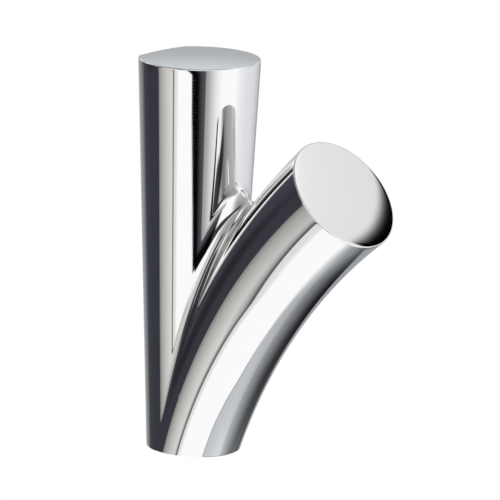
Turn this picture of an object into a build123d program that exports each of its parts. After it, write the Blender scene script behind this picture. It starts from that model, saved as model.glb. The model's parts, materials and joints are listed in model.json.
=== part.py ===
from build123d import *

import os
from math import cos, degrees, radians, sin, tan

# Wall-mounted towel hook: an upright tapered post with a curved branch, cast as one piece.
# Millimetres, +Z up. The wall is the plane Y = 0 with the hook in front of it on -Y, the hook is
# symmetric about X = 0, and the origin is the mouth of the fixing hole in the flat back.

# Post: a cone that widens upwards, cut flat where it meets the wall
post_height = 65.0  # foot to top rim
post_foot_diameter = 14.5
post_top_diameter = 20.0
post_dome_rise = 0.5
axis_to_wall = 8.0

# Branch: a tapered round bar bent on one arc, leaving the foot at a lean
branch_foot_diameter = 15.0
branch_tip_diameter = 20.0
branch_foot_offset = 0.55  # its axis meets the foot this far in front of the post's axis
branch_lean = 16.5  # degrees from upright at the foot
branch_bend_radius = 100.0
branch_length = 57.0  # along its axis, foot to tip rim
branch_dome_rise = 0.6

# Edges
junction_radius = 3.0
rim_radius = 0.25

# Fixing hole: blind, drilled for an M6 thread, with a chamfered mouth
hole_height = 42.0  # above the foot
hole_drill_diameter = 5.0
hole_mouth_diameter = 5.8
hole_depth = 12.0  # to the end of its straight wall
drill_point_angle = 118.0

# Casting stock below the foot, cut off level after the two are blended: as deep as half the
# slant of the branch's foot
branch_foot_radius = branch_foot_diameter / 2
foot_stock = branch_foot_radius * tan(radians(branch_lean))

# Post: places and radii that follow
foot_z = -hole_height
post_foot_radius = post_foot_diameter / 2
post_top_radius = post_top_diameter / 2
post_taper = (post_top_radius - post_foot_radius) / post_height
post_stock_radius = post_foot_radius - foot_stock * post_taper

# Branch: its slanted root reaches below the post's stock, and its bend stops just short of the tip
branch_tip_radius = branch_tip_diameter / 2
branch_taper = (branch_tip_radius - branch_foot_radius) / branch_length
root_length = 3 * foot_stock
root_radius = branch_foot_radius - root_length * branch_taper
end_length = 2 * rim_radius  # straight end, turned with the tip
end_radius = branch_tip_radius - end_length * branch_taper
turn_per_mm = degrees(1 / branch_bend_radius)
root_angle = branch_lean - root_length * turn_per_mm
end_angle = branch_lean + (branch_length - end_length) * turn_per_mm
bend_center_y = -axis_to_wall - branch_foot_offset - branch_bend_radius * cos(radians(branch_lean))
bend_center_z = foot_z - branch_bend_radius * sin(radians(branch_lean))

# Hole: radii and depths that follow
hole_radius = hole_drill_diameter / 2
mouth_radius = hole_mouth_diameter / 2
mouth_depth = mouth_radius - hole_radius
point_depth = hole_radius / tan(radians(drill_point_angle / 2))

# Post, turned about its own upright axis from a profile drawn towards the wall
post_axis = Axis((0, -axis_to_wall, foot_z), (0, 0, 1))
with BuildPart() as post:
    with BuildSketch(Plane(post_axis.position, x_dir=(0, 1, 0), z_dir=(1, 0, 0))):
        with BuildLine():
            stock = Line((0, -foot_stock), (post_stock_radius, -foot_stock))
            side = Line(stock @ 1, (post_top_radius, post_height))
            dome = TangentArc((0, post_height + post_dome_rise), side @ 1, tangent=(1, 0))
            Line(dome @ 0, stock @ 0)
        make_face()
        fillet(vertices().sort_by(Axis.X)[-1], radius=rim_radius)
    revolve(axis=post_axis)

# Branch, swept along its arc from a small round at the root to a large round at the end.
# Both rounds start on the underside, away from the line where the branch parts from the post.
with BuildPart() as branch:
    with BuildLine(Plane.YZ):
        branch_line = CenterArc(
            (bend_center_y, bend_center_z), branch_bend_radius, root_angle, end_angle - root_angle
        )
    sideways = Vector(1, 0, 0)
    root_axis = Axis(branch_line @ 0, branch_line % 0)
    end_axis = Axis(branch_line @ 1, branch_line % 1)
    root_under = sideways.cross(root_axis.direction)
    end_under = sideways.cross(end_axis.direction)
    with BuildSketch(Plane(root_axis.position, x_dir=root_under, z_dir=root_axis.direction)):
        Circle(root_radius)
    with BuildSketch(Plane(end_axis.position, x_dir=end_under, z_dir=end_axis.direction)):
        Circle(end_radius)
    sweep(multisection=True)
    # Straight end and domed tip, turned about the line of the end
    with BuildSketch(Plane(end_axis.position, x_dir=end_under, z_dir=-sideways)):
        with BuildLine():
            end_side = Line((end_radius, 0), (branch_tip_radius, end_length))
            tip_top = (0, end_length + branch_dome_rise)
            tip_dome = TangentArc(tip_top, end_side @ 1, tangent=(1, 0))
            Polyline(tip_top, (0, 0), end_side @ 0)
        make_face()
        fillet(vertices().sort_by(Axis.X)[-1], radius=rim_radius)
    revolve(axis=end_axis)

# Hook, the two fused, blended along the line where they part, cut level and flat, and drilled
with BuildPart() as hook:
    add(post)
    add(branch)
    junction = edges(Select.NEW).filter_by(lambda edge: edge.center().Z > foot_z)
    fillet(junction, radius=junction_radius)
    split(bisect_by=Plane.XY.offset(foot_z))
    split(bisect_by=Plane.XZ)
    with BuildSketch(Plane.YZ):
        Polygon(
            (0, 0),
            (0, mouth_radius),
            (-mouth_depth, hole_radius),
            (-hole_depth, hole_radius),
            (-hole_depth - point_depth, 0),
            align=None,
        )
    revolve(axis=Axis.Y, mode=Mode.SUBTRACT)
hook.part.label = "hook_body"

os.makedirs("parts", exist_ok=True)
export_step(hook.part, "parts/hook_body.step")
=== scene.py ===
import json

import bmesh
import bpy
import numpy as np
from mathutils import Matrix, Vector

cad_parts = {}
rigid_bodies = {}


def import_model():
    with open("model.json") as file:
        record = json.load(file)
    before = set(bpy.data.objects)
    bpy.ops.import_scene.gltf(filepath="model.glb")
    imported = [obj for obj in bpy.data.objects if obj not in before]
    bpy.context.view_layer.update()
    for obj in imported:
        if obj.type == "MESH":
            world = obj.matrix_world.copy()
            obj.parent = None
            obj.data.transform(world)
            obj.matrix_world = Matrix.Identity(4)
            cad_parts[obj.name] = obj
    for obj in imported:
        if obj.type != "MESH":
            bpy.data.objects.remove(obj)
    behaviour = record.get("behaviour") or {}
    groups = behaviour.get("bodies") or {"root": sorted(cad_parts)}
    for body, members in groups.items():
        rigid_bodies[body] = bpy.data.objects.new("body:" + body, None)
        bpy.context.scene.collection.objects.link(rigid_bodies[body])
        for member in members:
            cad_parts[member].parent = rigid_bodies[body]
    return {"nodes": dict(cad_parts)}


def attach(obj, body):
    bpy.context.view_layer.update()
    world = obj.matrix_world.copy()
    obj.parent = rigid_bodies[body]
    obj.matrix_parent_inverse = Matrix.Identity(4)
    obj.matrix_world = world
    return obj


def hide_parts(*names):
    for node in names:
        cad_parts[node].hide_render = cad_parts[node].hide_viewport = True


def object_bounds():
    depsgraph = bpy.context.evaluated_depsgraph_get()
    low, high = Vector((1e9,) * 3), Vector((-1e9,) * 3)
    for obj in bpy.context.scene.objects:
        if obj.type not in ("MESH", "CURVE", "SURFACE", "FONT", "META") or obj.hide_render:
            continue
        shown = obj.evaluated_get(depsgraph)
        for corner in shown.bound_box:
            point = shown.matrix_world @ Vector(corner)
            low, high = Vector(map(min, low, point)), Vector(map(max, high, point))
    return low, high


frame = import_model()
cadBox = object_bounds()
mm = 0.001
weld = 0.0005  # millimetres, corners nearer than this are one
print("frame loaded:", ", ".join(frame["nodes"]))


# Helpers: a piece is a list of point grids in millimetres, joined where they meet


def placed(name, data):
    # A new object at the origin, linked into the scene
    thing = bpy.data.objects.new(name, data)
    bpy.context.scene.collection.objects.link(thing)
    return thing


def newFinish(name):
    # A new material with its nodes and links
    finish = bpy.data.materials.new(name)
    finish.use_nodes = True
    return finish, finish.node_tree.nodes, finish.node_tree.links


def gridQuads(rows, columns, closed):
    # Corner indices of every quad between neighbouring rows and columns.
    # A closed grid also joins its last column to its first.
    quadColumns = columns if closed else columns - 1
    row, column = np.meshgrid(np.arange(rows - 1), np.arange(quadColumns), indexing="ij")
    after = (column + 1) % columns
    here, there = row * columns, (row + 1) * columns
    return np.stack([here + column, here + after, there + after, there + column], -1).reshape(-1, 4)


def meshFromGrids(name, grids):
    # All grids in one mesh, doubled corners made one, faces turned outwards
    points, quads, start = [], [], 0
    for grid, closed in grids:
        rows, columns = grid.shape[:2]
        points.append(grid.reshape(-1, 3) * mm)
        quads.append(gridQuads(rows, columns, closed) + start)
        start += rows * columns
    mesh = bpy.data.meshes.new(name)
    mesh.from_pydata(np.concatenate(points), [], np.concatenate(quads))
    work = bmesh.new()
    work.from_mesh(mesh)
    bmesh.ops.remove_doubles(work, verts=work.verts, dist=weld * mm)
    bmesh.ops.dissolve_degenerate(work, edges=work.edges, dist=weld * mm)
    bmesh.ops.recalc_face_normals(work, faces=work.faces)
    work.to_mesh(mesh)
    work.free()
    return placed(name, mesh)


def between(first, last, share):
    # Straight blend from first to last, with one row for each share
    return first + (last - first) * share[:, None, None]


def direction(azimuth, elevation):
    # Unit vectors for directions in degrees.
    # Azimuth 0 is straight out from the wall and 90 along +X, elevation is above the horizon.
    a, e = np.radians(azimuth), np.radians(elevation)
    return np.stack([np.sin(a) * np.cos(e), -np.cos(a) * np.cos(e), np.sin(e)], -1)


# Polished body: post, branch and the round that joins them, millimetres in the part's frame

post = {
    "footHeight": -42.0,
    "height": 65.0,
    "footRadius": 7.25,
    "topRadius": 10.0,
    "domeRise": 0.5,
    "axisToWall": 8.0,
    "sideRows": 96,
    "brinkRows": 6,  # on the top, from the rim in to where a round just touches the wall
    "crownRows": 15,  # from there to the centre
    "backColumns": 22,  # at each side, behind the crease
}
branch = {
    "footRadius": 7.5,
    "tipRadius": 10.0,
    "domeRise": 0.6,
    "footOffset": 0.55,  # in front of the post's axis
    "lean": np.radians(16.5),
    "bendRadius": 100.0,
    "length": 57.0,
    "straightEnd": 0.5,
    "sideRows": 96,
    "crownRows": 15,
    "frontColumns": 84,
    "creaseFan": np.radians(112.0),  # at each side of the tip, taken by the columns from the crease
    "fanPower": 3,  # the higher, the sooner the columns fan out
    "slideRounds": 12,
}
edges = {
    "rimRadius": 0.25,
    "rimSteps": 12,
    "creaseRadius": 3.0,
    "creaseRows": 32,
    "creaseColumns": 66,  # at each side of its middle
    "creaseSamples": 1441,  # angles at which its course is worked out first
    "searchBelow": 8.0,  # its ball is sought from this far under the foot
    "searchRounds": 50,
    "footBevel": 0.12,
    "footRows": 8,
    "sharpAngle": np.radians(9.0),
    "flatFacing": 0.99999,  # how squarely the faces of the flat back look at the wall
}
fixing = {
    "mouthRadius": 2.9,
    "drillRadius": 2.5,
    "threadDepth": 0.42,
    "pitch": 1.0,
    "depth": 12.0,
    "pointAngle": np.radians(59.0),  # between the drill's axis and its cutting edge
    "rows": 84,
    "flatRows": 9,
    "roughness": 0.3,  # added to the polish on the tapped wall
}
postTaper = (post["topRadius"] - post["footRadius"]) / post["height"]
branchTaper = (branch["tipRadius"] - branch["footRadius"]) / branch["length"]
bendY = -post["axisToWall"] - branch["footOffset"] - branch["bendRadius"] * np.cos(branch["lean"])
bendZ = post["footHeight"] - branch["bendRadius"] * np.sin(branch["lean"])
sideFootZ = post["footHeight"] + edges["footBevel"]


def postRadius(z):
    # Grows evenly with the height
    return post["footRadius"] + postTaper * (z - post["footHeight"])


def postPoint(radius, angle, z):
    # Round the post's axis, angle 0 at the front and half a turn at the wall
    y = -post["axisToWall"] - radius * np.cos(angle)
    return np.stack(np.broadcast_arrays(radius * np.sin(angle), y, z), -1)


def postNormal(points):
    # Straight away from the post's axis, tipped down by the taper
    out = points + np.array([0, post["axisToWall"], 0])
    out[..., 2] = 0
    out /= np.linalg.norm(out, axis=-1, keepdims=True)
    out[..., 2] = -postTaper
    return out / np.hypot(1, postTaper)


def branchPlace(points):
    # Length along the bend, step out from its axis in the bend's plane, and distance from its centre
    y, z = points[..., 1] - bendY, points[..., 2] - bendZ
    reach = np.hypot(y, z)
    along = (np.arctan2(z, y) - branch["lean"]) * branch["bendRadius"]
    return along, reach - branch["bendRadius"], reach


def branchPoint(along, angle):
    # Round the bent axis at a radius that grows along it, angle 0 on the side towards the post
    radius = branch["footRadius"] + branchTaper * along
    turn = branch["lean"] + along / branch["bendRadius"]
    reach = branch["bendRadius"] + radius * np.cos(angle)
    y, z = bendY + reach * np.cos(turn), bendZ + reach * np.sin(turn)
    return np.stack(np.broadcast_arrays(radius * np.sin(angle), y, z), -1)


def branchNormal(points):
    # Straight away from the bent axis, tipped back by the taper, which is steeper inside the bend
    _, out, reach = branchPlace(points)
    radius = np.hypot(points[..., 0], out)
    slope = branchTaper * branch["bendRadius"] / reach
    outY, outZ = (points[..., 1] - bendY) / reach, (points[..., 2] - bendZ) / reach
    y, z = out / radius * outY + slope * outZ, out / radius * outZ - slope * outY
    normal = np.stack([points[..., 0] / radius, y, z], -1)
    return normal / np.linalg.norm(normal, axis=-1, keepdims=True)


def branchDistance(points):
    # Distance outside the branch: what exceeds its radius there, measured square to its slanting side
    along, out, reach = branchPlace(points)
    slope = branchTaper * branch["bendRadius"] / reach
    over = np.hypot(points[..., 0], out) - branch["footRadius"] - branchTaper * along
    return over / np.hypot(1, slope)


def creaseCentre(angle):
    # A ball as large as the round leans on the post at this angle.
    # Its range of heights is halved again and again until it also rests on the branch.
    low = np.full(angle.shape, post["footHeight"] - edges["searchBelow"])
    high = np.full(angle.shape, post["footHeight"] + post["height"])
    grown = edges["creaseRadius"] * np.hypot(1, postTaper)
    for _ in range(edges["searchRounds"]):
        middle = (low + high) / 2
        ball = postPoint(postRadius(middle) + grown, angle, middle)
        inside = branchDistance(ball) < edges["creaseRadius"]
        low, high = np.where(inside, middle, low), np.where(inside, high, middle)
    return postPoint(postRadius(low) + grown, angle, low)


def creasePoint(angle, share):
    # On the ball, swung from where it touches the post (share 0) to where it touches the branch (share 1)
    centre = creaseCentre(angle)
    toPost, toBranch = -postNormal(centre), -branchNormal(centre)
    swing = np.arccos(np.clip((toPost * toBranch).sum(-1), -1, 1))
    postPart, branchPart = (np.sin(part * swing) / np.sin(swing) for part in (1 - share, share))
    touch = postPart[..., None] * toPost + branchPart[..., None] * toBranch
    return centre + edges["creaseRadius"] * touch


def flatReach(radius):
    # Angle at which a round of this radius meets the flat back; half a turn where it clears the wall
    return np.pi - np.arccos(post["axisToWall"] / np.maximum(radius, post["axisToWall"]))


def endProfile(edgeRadius, taper, rise, stops):
    # Rim round and domed face of a bar's end: radii, and heights above the corner that the rim takes off.
    # The rim's ball touches the side line, and the dome's ball from inside. The face's rows then run in
    # through the stops, each a radius and the number of rows up to it.
    rim = edges["rimRadius"]
    ballRadius = (edgeRadius**2 + rise**2) / (2 * rise)
    ballHeight = rise - ballRadius
    tilt = np.arctan(taper)
    base = np.array([edgeRadius - rim * np.cos(tilt), rim * np.sin(tilt) - ballHeight])
    line = np.array([np.sin(tilt), np.cos(tilt)])
    slide = -base @ line + np.sqrt((base @ line) ** 2 - base @ base + (ballRadius - rim) ** 2)
    centre = base + slide * line
    angles = np.linspace(-tilt, np.arctan2(centre[1], centre[0]), edges["rimSteps"] + 1)
    rimRadii, rimHeights = centre[0] + rim * np.cos(angles), centre[1] + rim * np.sin(angles) + ballHeight
    starts = [rimRadii[-1]] + [stop for stop, rows in stops]
    faceRuns = [np.linspace(start, stop, rows + 1)[1:] for start, (stop, rows) in zip(starts, stops)]
    faceRadii = np.concatenate(faceRuns)
    faceHeights = ballHeight + np.sqrt(ballRadius**2 - faceRadii**2)
    return np.concatenate([rimRadii, faceRadii]), np.concatenate([rimHeights, faceHeights])


# Crease: columns even in the way walked along it and the angle turned, ending on the foot at both sides
turns = np.linspace(0, np.pi, edges["creaseSamples"])
shares = np.linspace(0, 1, edges["creaseRows"] + 1)
strip = creasePoint(*np.meshgrid(turns, shares, indexing="ij"))
creaseEnd = np.array([np.interp(-sideFootZ, -heights, turns) for heights in strip[..., 2].T])
walk = np.concatenate([[0], np.linalg.norm(np.diff(strip[:, 0], axis=0), axis=1).cumsum()])
evenness = (walk / np.interp(creaseEnd[0], turns, walk) + turns / creaseEnd[0]) / 2
halfSteps = np.interp(np.linspace(0, 1, edges["creaseColumns"] + 1), evenness, turns) / creaseEnd[0]
creaseSteps = np.concatenate([-halfSteps[:0:-1], halfSteps])
creaseAngles = np.abs(creaseSteps) * creaseEnd[:, None]
crease = creasePoint(creaseAngles, np.broadcast_to(shares[:, None], creaseAngles.shape))
crease[..., 0] *= np.where(creaseSteps < 0, -1, 1)
crease[:, [0, -1], 2] = sideFootZ
print("crease: from", crease[0, edges["creaseColumns"]].round(2), "to", crease[0, -1].round(2))

# Post: columns start on the crease or the foot and run straight up to the top's centre.
# Those at the back close in on the flat, and the rows lie close together where it begins.
startAngle = np.arctan2(crease[0, :, 0], -crease[0, :, 1] - post["axisToWall"])
backShare = np.linspace(0, 1, post["backColumns"] + 1)[1:]
columnAngle = np.pad(startAngle, post["backColumns"], mode="edge")
columnShare = np.concatenate([-backShare[::-1], np.zeros(startAngle.size), backShare])
backZ = np.full(backShare.size, sideFootZ)
columnZ = np.concatenate([backZ, crease[0, :, 2], backZ])
topStops = [(post["axisToWall"], post["brinkRows"]), (0.0, post["crownRows"])]
topRadii, topHeights = endProfile(post["topRadius"], postTaper, post["domeRise"], topStops)
topHeights = topHeights + post["footHeight"] + post["height"]
flatFootZ = post["footHeight"] + (post["axisToWall"] - post["footRadius"]) / postTaper
flatStart = (flatFootZ - sideFootZ) / (topHeights[0] - sideFootZ)
rowsBelow = int(round(flatStart * post["sideRows"]))
rowsAbove = post["sideRows"] - rowsBelow
riseBelow = np.linspace(0, flatStart, rowsBelow + 1)
riseAbove = flatStart + (1 - flatStart) * (np.arange(1, rowsAbove) / rowsAbove) ** 2
rise = np.concatenate([riseBelow, riseAbove])
sideZ = columnZ + (topHeights[0] - columnZ) * rise[:, None]
postRadii = np.concatenate([postRadius(sideZ), np.repeat(topRadii[:, None], columnZ.size, 1)])
postHeights = np.concatenate([sideZ, np.repeat(topHeights[:, None], columnZ.size, 1)])
postAngles = columnAngle + columnShare * (flatReach(postRadii) - startAngle[-1])
postGrid = postPoint(postRadii, postAngles, postHeights)
postGrid[0, post["backColumns"] : -post["backColumns"]] = crease[0]

# Branch: columns start on the crease at the back and on the foot at the front.
# They fan out evenly to the tip.
creaseAlong, creaseOut, _ = branchPlace(crease[-1])
creaseTurn = np.arctan2(crease[-1, :, 0], creaseOut)
frontTurn = np.linspace(creaseTurn[-1], 2 * np.pi + creaseTurn[0], branch["frontColumns"] + 1)[1:-1]
frontAlong = np.zeros(frontTurn.size)
for _ in range(branch["slideRounds"]):  # slide each start along the bar until it lies level with the foot
    reach = branch["bendRadius"] + (branch["footRadius"] + branchTaper * frontAlong) * np.cos(frontTurn)
    frontAlong = (np.arcsin((sideFootZ - bendZ) / reach) - branch["lean"]) * branch["bendRadius"]
barAlong, barTurn = np.concatenate([creaseAlong, frontAlong]), np.concatenate([creaseTurn, frontTurn])
creaseFan = np.linspace(-branch["creaseFan"], branch["creaseFan"], creaseSteps.size)
frontFan = np.linspace(branch["creaseFan"], 2 * np.pi - branch["creaseFan"], frontTurn.size + 2)[1:-1]
fan = np.concatenate([creaseFan, frontFan])
bendEnd = branch["length"] - branch["straightEnd"]
climb = np.linspace(0, 1, branch["sideRows"] + 1)[:, None]
turnShare = 1 - (1 - climb) ** branch["fanPower"]
barSide = branchPoint(barAlong + (bendEnd - barAlong) * climb, barTurn + (fan - barTurn) * turnShare)
barSide[0, : creaseSteps.size] = crease[-1]
tipStops = [(0.0, branch["crownRows"])]
tipRadii, tipHeights = endProfile(branch["tipRadius"], branchTaper, branch["domeRise"], tipStops)
tipHeights = tipHeights + branch["straightEnd"]
endTurn = branch["lean"] + bendEnd / branch["bendRadius"]
endOut = np.array([0, np.cos(endTurn), np.sin(endTurn)])
endLine = np.array([0, -np.sin(endTurn), np.cos(endTurn)])
endPlace = np.array([0, bendY, bendZ]) + branch["bendRadius"] * endOut
ring = np.sin(fan)[:, None] * np.array([1, 0, 0]) + np.cos(fan)[:, None] * endOut
barTip = endPlace + tipRadii[:, None, None] * ring + tipHeights[:, None, None] * endLine
branchGrid = np.concatenate([barSide, barTip])

# Foot: the outline of all that stands on it, a fine bevel, and the level face
outline = np.concatenate(
    [
        branchGrid[0, creaseSteps.size :],
        crease[::-1, 0],
        postGrid[0, : post["backColumns"]][::-1],
        postGrid[0, -post["backColumns"] :][::-1],
        crease[:, -1],
    ]
)
footCentre = np.array([0, -post["axisToWall"] - branch["footOffset"] / 2, post["footHeight"]])
outward = outline - footCentre
outward[:, 2] = 0
bevelled = outline - edges["footBevel"] * outward / np.linalg.norm(outward, axis=1, keepdims=True)
bevelled[:, 2] = post["footHeight"]
footShares = np.linspace(0, 1, edges["footRows"])
footGrid = np.concatenate([outline[None], between(bevelled, footCentre, footShares)])

# Flat back: from the post's own edge in to the mouth of the fixing hole
flatRows = slice(rowsBelow, rise.size + edges["rimSteps"] + 1 + post["brinkRows"])
flatEdge = np.concatenate([postGrid[flatRows, -1], postGrid[flatRows, 0][-2:0:-1]])
flatEdge[:, 1] = 0
clock = np.pi - 2 * np.pi * np.arange(flatEdge.shape[0]) / flatEdge.shape[0]


def holePoint(radius, y):
    # Round the hole's axis, with one angle for each corner of the flat's edge
    return np.stack(np.broadcast_arrays(radius * np.sin(clock), y, radius * np.cos(clock)), -1)


# Hole: a chamfered mouth, a thread and the drill's point. The thread is a zigzag groove that winds once
# round in each pitch, grows from nothing over its first and runs out over its last.
mouth = holePoint(fixing["mouthRadius"], 0.0)
flatGrid = between(flatEdge, mouth, np.linspace(0, 1, fixing["flatRows"] + 1))
mouthDepth = fixing["mouthRadius"] - fixing["drillRadius"]
pointDepth = fixing["depth"] + fixing["drillRadius"] / np.tan(fixing["pointAngle"])
depth = np.linspace(mouthDepth, fixing["depth"], fixing["rows"])[:, None]
groove = np.abs((depth / fixing["pitch"] + clock / (2 * np.pi)) % 1 * 2 - 1)
groove *= np.clip((depth - mouthDepth) / fixing["pitch"], 0, 1)
groove *= np.clip((fixing["depth"] - depth) / fixing["pitch"], 0, 1)
thread = holePoint(fixing["drillRadius"] + fixing["threadDepth"] * groove, -depth)
holeGrid = np.concatenate([mouth[None], thread, holePoint(0.0, -pointDepth)[None]])

bodyGrids = [
    (postGrid, False),
    (branchGrid, True),
    (crease, False),
    (footGrid, True),
    (flatGrid, True),
    (holeGrid, True),
]
hookBody = meshFromGrids("polishedHook", bodyGrids)
skin = hookBody.data
skin.shade_smooth()
skin.set_sharp_from_angle(angle=edges["sharpAngle"])

# The flat back keeps a crisp outline, also where it runs out at a small angle: edges with one face on it
faceSizes = np.empty(len(skin.polygons), np.int32)
skin.polygons.foreach_get("loop_total", faceSizes)
faceNormals = np.empty((len(skin.polygons), 3), np.float32)
skin.polygons.foreach_get("normal", faceNormals.ravel())
faceEdges = np.empty(len(skin.loops), np.int32)
skin.loops.foreach_get("edge_index", faceEdges)
onFlat = np.repeat(faceNormals[:, 1] > edges["flatFacing"], faceSizes)
flatFaces = np.bincount(faceEdges[onFlat], minlength=len(skin.edges))
isSharp = np.empty(len(skin.edges), bool)
skin.edges.foreach_get("use_edge_sharp", isSharp)
skin.edges.foreach_set("use_edge_sharp", isSharp | (flatFaces == 1))

# The wall of the tapped hole is left as machined
corners = np.empty((len(skin.vertices), 3), np.float32)
skin.vertices.foreach_get("co", corners.ravel())
fromAxis, fromWall = np.hypot(corners[:, 0], corners[:, 2]) / mm, -corners[:, 1] / mm
inHole = fromAxis < fixing["drillRadius"] + fixing["threadDepth"] + weld
inHole &= (fromWall > weld) & (fromWall < pointDepth + weld)
machined = skin.attributes.new("machined", "FLOAT", "POINT")
machined.data.foreach_set("value", inHole.astype(np.float32))
print("polished body:", len(skin.vertices), "corners,", len(skin.polygons), "faces")


# Chrome: a bright mirror whose gloss varies a little from place to place, as hand polishing leaves it

chrome = {
    "colour": (0.92, 0.92, 0.925, 1.0),
    "roughLow": 0.02,
    "roughHigh": 0.045,
    "cloudSize": 0.012,  # metres, soft patches from the polishing wheel
    "cloudDetail": 4.0,
    "cloudLow": 0.35,  # where the patches reach the low roughness
    "cloudHigh": 0.65,
    "grainSize": 0.0004,
    "grainDepth": 0.0000002,
}


def chromeMaterial():
    # Metal with its roughness from soft noise, more of it on the tapped wall, and a very fine grain
    finish, nodes, links = newFinish("polishedChrome")
    shader = nodes["Principled BSDF"]
    shader.inputs["Base Color"].default_value = chrome["colour"]
    shader.inputs["Metallic"].default_value = 1.0
    place = nodes.new("ShaderNodeTexCoord")
    clouds = nodes.new("ShaderNodeTexNoise")
    clouds.inputs["Scale"].default_value = 1 / chrome["cloudSize"]
    clouds.inputs["Detail"].default_value = chrome["cloudDetail"]
    gloss = nodes.new("ShaderNodeMapRange")
    gloss.inputs["From Min"].default_value = chrome["cloudLow"]
    gloss.inputs["From Max"].default_value = chrome["cloudHigh"]
    gloss.inputs["To Min"].default_value = chrome["roughLow"]
    gloss.inputs["To Max"].default_value = chrome["roughHigh"]
    tapped = nodes.new("ShaderNodeAttribute")
    tapped.attribute_name = "machined"
    rough = nodes.new("ShaderNodeMath")
    rough.operation = "MULTIPLY_ADD"
    rough.inputs[1].default_value = fixing["roughness"]
    grain = nodes.new("ShaderNodeTexNoise")
    grain.inputs["Scale"].default_value = 1 / chrome["grainSize"]
    bump = nodes.new("ShaderNodeBump")
    bump.inputs["Distance"].default_value = chrome["grainDepth"]
    links.new(place.outputs["Object"], clouds.inputs["Vector"])
    links.new(clouds.outputs["Fac"], gloss.inputs["Value"])
    links.new(tapped.outputs["Fac"], rough.inputs[0])
    links.new(gloss.outputs["Result"], rough.inputs[2])
    links.new(rough.outputs["Value"], shader.inputs["Roughness"])
    links.new(place.outputs["Object"], grain.inputs["Vector"])
    links.new(grain.outputs["Fac"], bump.inputs["Height"])
    links.new(bump.outputs["Normal"], shader.inputs["Normal"])
    return finish


skin.materials.append(chromeMaterial())
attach(hookBody, "root")
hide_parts("hook_body")
print("chrome on")


# Studio: a light tent all round, pale, with dark flags and grey cards where the chrome mirrors them

tent = {
    "radius": 2.5,
    "step": 0.5,  # degrees between the tent's corners
    "tone": 0.98,
    "toneCurve": 2.2,  # power that turns a tone into light
}

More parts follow.
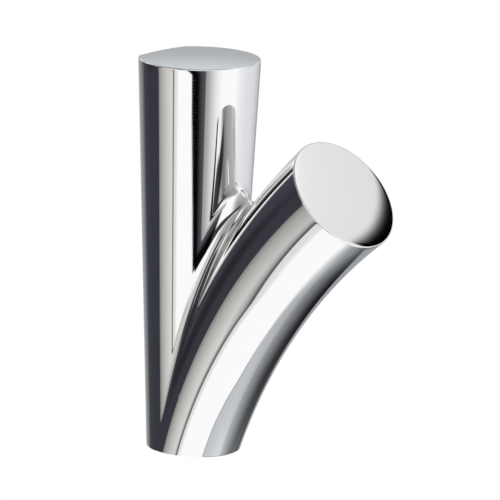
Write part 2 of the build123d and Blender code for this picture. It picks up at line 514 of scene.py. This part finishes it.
# A panel lies between two azimuths and two elevations, in degrees, with soft edges (across, up).
# Its tones are how bright it shows in the chrome, 0 to 1, evenly spaced along the azimuth (across)
# or the elevation (up). Tint multiplies them in red, green and blue.
# A panel with bends has slanting sides, with the azimuths listed at those elevations.
# A rise tilts it by so many degrees for each degree of azimuth, and a bow curves it up to both sides.
# One that darkens is laid only over what is brighter.
allRound = (-180, 180)
tentPanels = {
    "ceiling": {
        "az": allRound,
        "el": (42, 95),
        "soft": (1, 24),
        "across": (0.58, 0.48, 0.56, 0.66, 0.70, 0.70, 0.70, 0.66, 0.58),
    },
    "roof": {"az": allRound, "el": (70, 95), "soft": (1, 24), "across": (0.62, 0.62)},
    "leftWall": {"az": (-165, -99), "el": (13, 42), "soft": (4, 8), "across": (0.52, 0.58, 0.62, 0.72)},
    "rightWall": {"az": (84, 178), "el": (20, 50), "soft": (6, 12), "across": (0.76, 0.68, 0.66, 0.62)},
    "tipBox": {
        "az": (38, 84),
        "el": (27, 60),
        "soft": (5, 4),
        "up": (0.86, 0.875, 0.88, 0.90, 0.97, 0.98, 0.98),
    },
    "cardHalo": {"az": (-134, -91), "el": (-53, -8), "soft": (6, 8), "across": (0.86, 0.86)},
    "warmCard": {
        "az": (-134, -98.5),
        "el": (-42.4, -8),
        "soft": (1.5, 1.3),
        "across": (0.50, 0.645, 0.715, 0.775, 0.82, 0.845),
        "rise": -0.17,
        "tint": (1.0, 0.995, 0.975),
    },
    "cardFoot": {
        "az": (-134, -97),
        "el": (-42.4, -33.4),
        "soft": (1, 1.2),
        "up": (0.22, 0.32, 0.47, 0.58, 0.65, 0.69, 0.72, 0.74, 0.80),
        "rise": -0.17,
        "darkens": True,
    },
    "cardSide": {
        "az": (-104.5, -96.9),
        "el": (-45, -22),
        "soft": (0.8, 3),
        "across": (0.80, 0.77, 0.58, 0.40, 0.33),
        "darkens": True,
    },
    "cardLine": {
        "az": (-100.4, -97.8),
        "el": (-24, -10),
        "soft": (1.4, 3),
        "across": (0.42, 0.42),
        "darkens": True,
    },
    "cardTop": {
        "az": (-123.5, -103.5),
        "el": (-12, 17),
        "soft": (1.5, 5),
        "across": (0.70, 0.79, 0.80, 0.70),
        "tint": (1.0, 0.995, 0.98),
    },
    "leftFlag": {
        "bends": (-17.5, -15),
        "az": ((-182, -182), (-134, -132.9)),
        "el": (-30, 13),
        "soft": (2, 5),
        "across": (0.27, 0.235, 0.23),
        "tint": (0.97, 0.98, 1.10),
    },
    "leftDeep": {
        "az": (-166, -150),
        "el": (-12, 0),
        "soft": (12, 6),
        "across": (0.175, 0.175),
        "tint": (0.97, 1.0, 1.06),
    },
    "leftHigh": {"az": (-135.5, -123.5), "el": (-10, 21), "soft": (1.5, 4), "across": (0.25, 0.30)},
    "leftGap": {"az": (-139.5, -135.8), "el": (-3, 18), "soft": (1, 4), "across": (0.72, 0.72)},
    "leftEdge": {
        "az": (147, 180),
        "el": (-30, 8),
        "soft": (5, 6),
        "across": (0.62, 0.59, 0.50, 0.34),
        "tint": (0.98, 1.0, 1.02),
    },
    "blackFlag": {
        "bends": (-28, -18, -16, -14, -11, -6, 0, 6),
        "az": ((-52, -54, -62, -65, -74, -79, -85, -86.5), (-36,) * 8),
        "el": (-28, 6),
        "soft": (2, 4),
        "across": (0.10, 0.06, 0.06, 0.22, 0.30, 0.35),
        "tint": (0.97, 0.98, 1.04),
    },
    "darkSeam": {
        "bends": (4, 13, 24, 31, 41, 52, 60),
        "az": ((-87, -89, -95.5, -98.5, -107, -118, -126), (-68, -71, -79, -86, -93, -100, -106)),
        "el": (4, 60),
        "soft": (4, 6),
        "up": (0.24, 0.24, 0.24, 0.22, 0.16, 0.22, 0.32),
    },
    "fadeCard": {
        "az": (-36, -4),
        "el": (-28, 10),
        "soft": (1.5, 5),
        "across": (0.59, 0.68, 0.80, 0.88, 0.94, 0.97),
    },
    "rightCard": {
        "az": (26, 108),
        "el": (-25, 14),
        "soft": (4, 6),
        "across": (0.97, 0.91, 0.875, 0.865, 0.84, 0.77, 0.73),
        "tint": (0.99, 0.995, 1.01),
    },
    "backStrip": {
        "az": (105.5, 148),
        "el": (-62, -8),
        "soft": (2, 6),
        "across": (0.60, 0.70),
        "tint": (0.97, 0.99, 1.03),
    },
    "tipFlag": {
        "az": (54, 84),
        "el": (20, 28.4),
        "soft": (4, 3),
        "across": (0.01, 0.05, 0.14),
        "rise": -0.19,
        "bow": 0.0065,
    },
    "topCard": {
        "az": (112, 150),
        "el": (-4, 36),
        "soft": (8, 5),
        "up": (0.66, 0.67, 0.70, 0.79, 0.86, 0.80),
        "tint": (0.975, 0.995, 1.01),
    },
}

# Painted floor shade on the tent's lower half to the right, mirrored by the chrome. Its places are how
# far right (+X) and forward (out from the wall) a direction meets the floor, counted in drops to it.
floorShade = {
    "forward": (0.0, 0.1, 0.33, 0.52, 0.6, 0.68, 0.8),
    "edge": (0.14, 0.11, 0.03, -0.09, -0.23, -0.36, -0.46),  # how far right its left edge lies
    "soft": (0.22, 0.20, 0.06, 0.03, 0.03, 0.03, 0.03),
    "right": (0.0, 0.2, 0.35, 0.6, 0.78, 1.0, 1.2, 1.5, 2.0),
    "tones": (0.77, 0.73, 0.58, 0.46, 0.36, 0.27, 0.22, 0.27, 0.34),
    "lean": 0.25,  # how far right a tone moves on the way forward
    "slant": (0.2, 0.3, 0.4, 0.5, 0.7, 0.8, 0.9, 1.05),  # forward, with a share of right
    "slantShare": 0.5,
    "lift": (0.014, -0.049, -0.042, -0.021, 0.0, 0.021, 0.042, 0.077),  # how much lighter it lies there
    "liftEnd": 1.5,  # the lift grows to the right as far as this
    "line": 0.16,  # how much darker its left edge shows in front
    "lineWidth": 0.04,
    "lineSoft": 0.03,
    "lineStart": 0.5,  # how far forward the line comes in
    "lineGrowth": 0.2,
    "top": -23.0,  # degrees of elevation
    "topSoft": 7.0,
    "end": 106.0,  # degrees of azimuth
    "endSoft": 2.0,
    "leastDrop": 0.05,  # keeps the places of level directions finite
    "tint": (0.985, 1.0, 1.02),
}


def softStep(edge, width, value):
    # 0 below the edge and 1 above it, eased across the width
    x = np.clip((value - edge) / width + 0.5, 0, 1)
    return x * x * (3 - 2 * x)


def ramp(tones, share):
    # Evenly spaced tones, the first at share 0 and the last at share 1
    return np.interp(share, np.linspace(0, 1, len(tones)), tones)


def wrapped(angle):
    # The same direction between -180 and 180 degrees
    return (angle + 180) % 360 - 180


def panelPaint(panel, azimuth, elevation):
    # A panel's colour in each direction, and how far it covers what is behind
    (left, right), (low, high), (softAcross, softUp) = panel["az"], panel["el"], panel["soft"]
    if "bends" in panel:
        left, right = (np.interp(elevation, panel["bends"], side) for side in (left, right))
    middle = (left + right) / 2
    aside = wrapped(azimuth - middle)
    turned = aside + middle
    raised = elevation - panel.get("rise", 0) * aside - panel.get("bow", 0) * aside**2
    cover = softStep(low, softUp, raised) * (1 - softStep(high, softUp, raised))
    if panel["az"] != allRound:
        cover = cover * softStep(left, softAcross, turned) * (1 - softStep(right, softAcross, turned))
    if "across" in panel:
        tone = ramp(panel["across"], (turned - left) / (right - left))
    else:
        tone = ramp(panel["up"], (raised - low) / (high - low))
    return tone[..., None] * np.array(panel.get("tint", (1, 1, 1))), cover[..., None]


def paintFloorShade(azimuth, elevation):
    # The painted floor shade's colour and cover: darker to the right, cut off at its slanting left edge
    # and its end
    ray = direction(azimuth, elevation)
    drop = np.maximum(-ray[..., 2], floorShade["leastDrop"])
    right, forward = ray[..., 0] / drop, -ray[..., 1] / drop
    edge, soft = (np.interp(forward, floorShade["forward"], floorShade[key]) for key in ("edge", "soft"))
    tone = np.interp(right - floorShade["lean"] * forward, floorShade["right"], floorShade["tones"])
    lift = np.interp(forward + floorShade["slantShare"] * right, floorShade["slant"], floorShade["lift"])
    tone += lift * (1 + np.clip(right, 0, floorShade["liftEnd"]))
    line = softStep(floorShade["lineStart"], floorShade["lineGrowth"], forward)
    line *= 1 - softStep(floorShade["lineWidth"], floorShade["lineSoft"], right - edge)
    tone -= floorShade["line"] * line
    cover = softStep(edge, soft, right)
    cover *= 1 - softStep(floorShade["top"], floorShade["topSoft"], elevation)
    cover *= 1 - softStep(floorShade["end"], floorShade["endSoft"], wrapped(azimuth))
    return tone[..., None] * np.array(floorShade["tint"]), cover[..., None]


def tentColour(azimuth, elevation):
    # The pale tent with each panel laid over it in turn, and the painted floor shade last
    colour = np.full(azimuth.shape + (3,), tent["tone"])
    for panel in tentPanels.values():
        paint, cover = panelPaint(panel, azimuth, elevation)
        if "darkens" in panel:
            paint = np.minimum(paint, colour)
        colour += (paint - colour) * cover
    # painted floor shade, laid over the tent last
    paint, cover = paintFloorShade(azimuth, elevation)
    return colour + (paint - colour) * cover


def tentMaterial():
    # Each corner glows with its own colour
    finish, nodes, links = newFinish("tentCloth")
    nodes.remove(nodes["Principled BSDF"])
    shine = nodes.new("ShaderNodeEmission")
    tones = nodes.new("ShaderNodeAttribute")
    tones.attribute_name = "glow"
    links.new(tones.outputs["Color"], shine.inputs["Color"])
    links.new(shine.outputs["Emission"], nodes["Material Output"].inputs["Surface"])
    return finish


tentRows, tentColumns = int(180 / tent["step"]) + 1, int(360 / tent["step"])
rowElevations, columnAzimuths = np.linspace(-90, 90, tentRows), np.arange(tentColumns) * tent["step"]
elevations, azimuths = np.meshgrid(rowElevations, columnAzimuths, indexing="ij")
tentGrid = tent["radius"] * direction(azimuths, elevations)
tentMesh = bpy.data.meshes.new("lightTent")
tentMesh.from_pydata(tentGrid.reshape(-1, 3), [], gridQuads(tentRows, tentColumns, True))
tentTones = tentColour(azimuths, elevations).reshape(-1, 3)
light = tentTones ** tent["toneCurve"] / np.array(chrome["colour"][:3])
glow = tentMesh.attributes.new("glow", "FLOAT_COLOR", "POINT")
glow.data.foreach_set("color", np.insert(light, 3, 1, axis=1).astype(np.float32).ravel())
tentMesh.materials.append(tentMaterial())
lightTent = placed("lightTent", tentMesh)
lightTent.visible_camera = False
lightTent.visible_shadow = False
print("tent up:", len(tentPanels), "panels")


# Floor and background: white paper well below the hook, and white beyond it

floor = {
    "drop": 0.4,  # metres under the hook
    "radius": 1.2,
    "rings": 24,
    "columns": 96,
    "colour": (0.9, 0.9, 0.9, 1.0),
    "roughness": 0.9,
    "glowShare": 0.9,  # of what the camera sees; the rest keeps the shadow
    "glow": 1.03,
}


def paperMaterial():
    # Matt white that glows by itself for the camera alone
    finish, nodes, links = newFinish("whitePaper")
    matt = nodes["Principled BSDF"]
    matt.inputs["Base Color"].default_value = floor["colour"]
    matt.inputs["Roughness"].default_value = floor["roughness"]
    shine = nodes.new("ShaderNodeEmission")
    shine.inputs["Strength"].default_value = floor["glow"]
    rayKind = nodes.new("ShaderNodeLightPath")
    share = nodes.new("ShaderNodeMath")
    share.operation = "MULTIPLY"
    share.inputs[1].default_value = floor["glowShare"]
    both = nodes.new("ShaderNodeMixShader")
    links.new(rayKind.outputs["Is Camera Ray"], share.inputs[0])
    links.new(share.outputs["Value"], both.inputs["Fac"])
    links.new(matt.outputs["BSDF"], both.inputs[1])
    links.new(shine.outputs["Emission"], both.inputs[2])
    links.new(both.outputs["Shader"], nodes["Material Output"].inputs["Surface"])
    return finish


discRadius = floor["radius"] * np.linspace(0, 1, floor["rings"])[:, None]
discTurn = np.linspace(0, 2 * np.pi, floor["columns"], endpoint=False)
discX, discY = discRadius * np.sin(discTurn), discRadius * np.cos(discTurn)
floorGrid = np.stack([discX, discY, np.full(discX.shape, cadBox[0].z - floor["drop"])], -1) / mm
paperFloor = meshFromGrids("paperFloor", [(floorGrid, True)])
paperFloor.data.materials.append(paperMaterial())
paperFloor.visible_glossy = False  # the tent's lower half stands in for it in the mirror

world = bpy.data.worlds.new("whiteStudio")
bpy.context.scene.world = world
world.use_nodes = True
background = world.node_tree.nodes["Background"]
background.inputs["Color"].default_value = (1, 1, 1, 1)
background.inputs["Strength"].default_value = 1.0
print("floor and background laid")


# Camera: the photograph's angle, long lens, turned in place until the picture's middle is right

camera = {
    "azimuth": -49.705,  # degrees, and so are elevation and roll
    "elevation": 12.894,
    "roll": 1.431,
    "distance": 1000.0,  # millimetres from the middle of the hook
    "middle": np.array([0, -12.0, -9.0]),
    "pixelsPerMm": 6.124,  # at the middle, in a 500 pixel picture
    "middlePixel": np.array([213.113, 253.228]),
    "pictureWidth": 500,
    "sensorWidth": 36.0,
    "nearest": 0.05,  # metres
    "furthest": 10.0,
}
turn, roll = np.radians(camera["azimuth"]), np.radians(camera["roll"])
backward = direction(camera["azimuth"], camera["elevation"])
level = np.array([np.cos(turn), np.sin(turn), 0])
rightward = level * np.cos(roll) + np.cross(backward, level) * np.sin(roll)
upward = np.cross(backward, rightward)
stand = camera["middle"] + backward * camera["distance"]
pictureMiddle = (camera["pictureWidth"] - 1) / 2
aside = (pictureMiddle - camera["middlePixel"]) / camera["pixelsPerMm"]
aim = camera["middle"] + rightward * aside[0] - upward * aside[1]
backward = (stand - aim) / np.linalg.norm(stand - aim)
rightward = rightward - backward * (rightward @ backward)
rightward /= np.linalg.norm(rightward)
upward = np.cross(backward, rightward)
lens = bpy.data.cameras.new("longLens")
lens.sensor_width = camera["sensorWidth"]
lens.lens = camera["pixelsPerMm"] * camera["distance"] / camera["pictureWidth"] * camera["sensorWidth"]
lens.clip_start = camera["nearest"]
lens.clip_end = camera["furthest"]
viewer = placed("longLens", lens)
pose = np.eye(4)
pose[:3] = np.column_stack([rightward, upward, backward, stand * mm])
viewer.matrix_world = Matrix(pose.tolist())
bpy.context.scene.camera = viewer
bpy.context.scene.view_settings.view_transform = "Standard"
print("camera set")
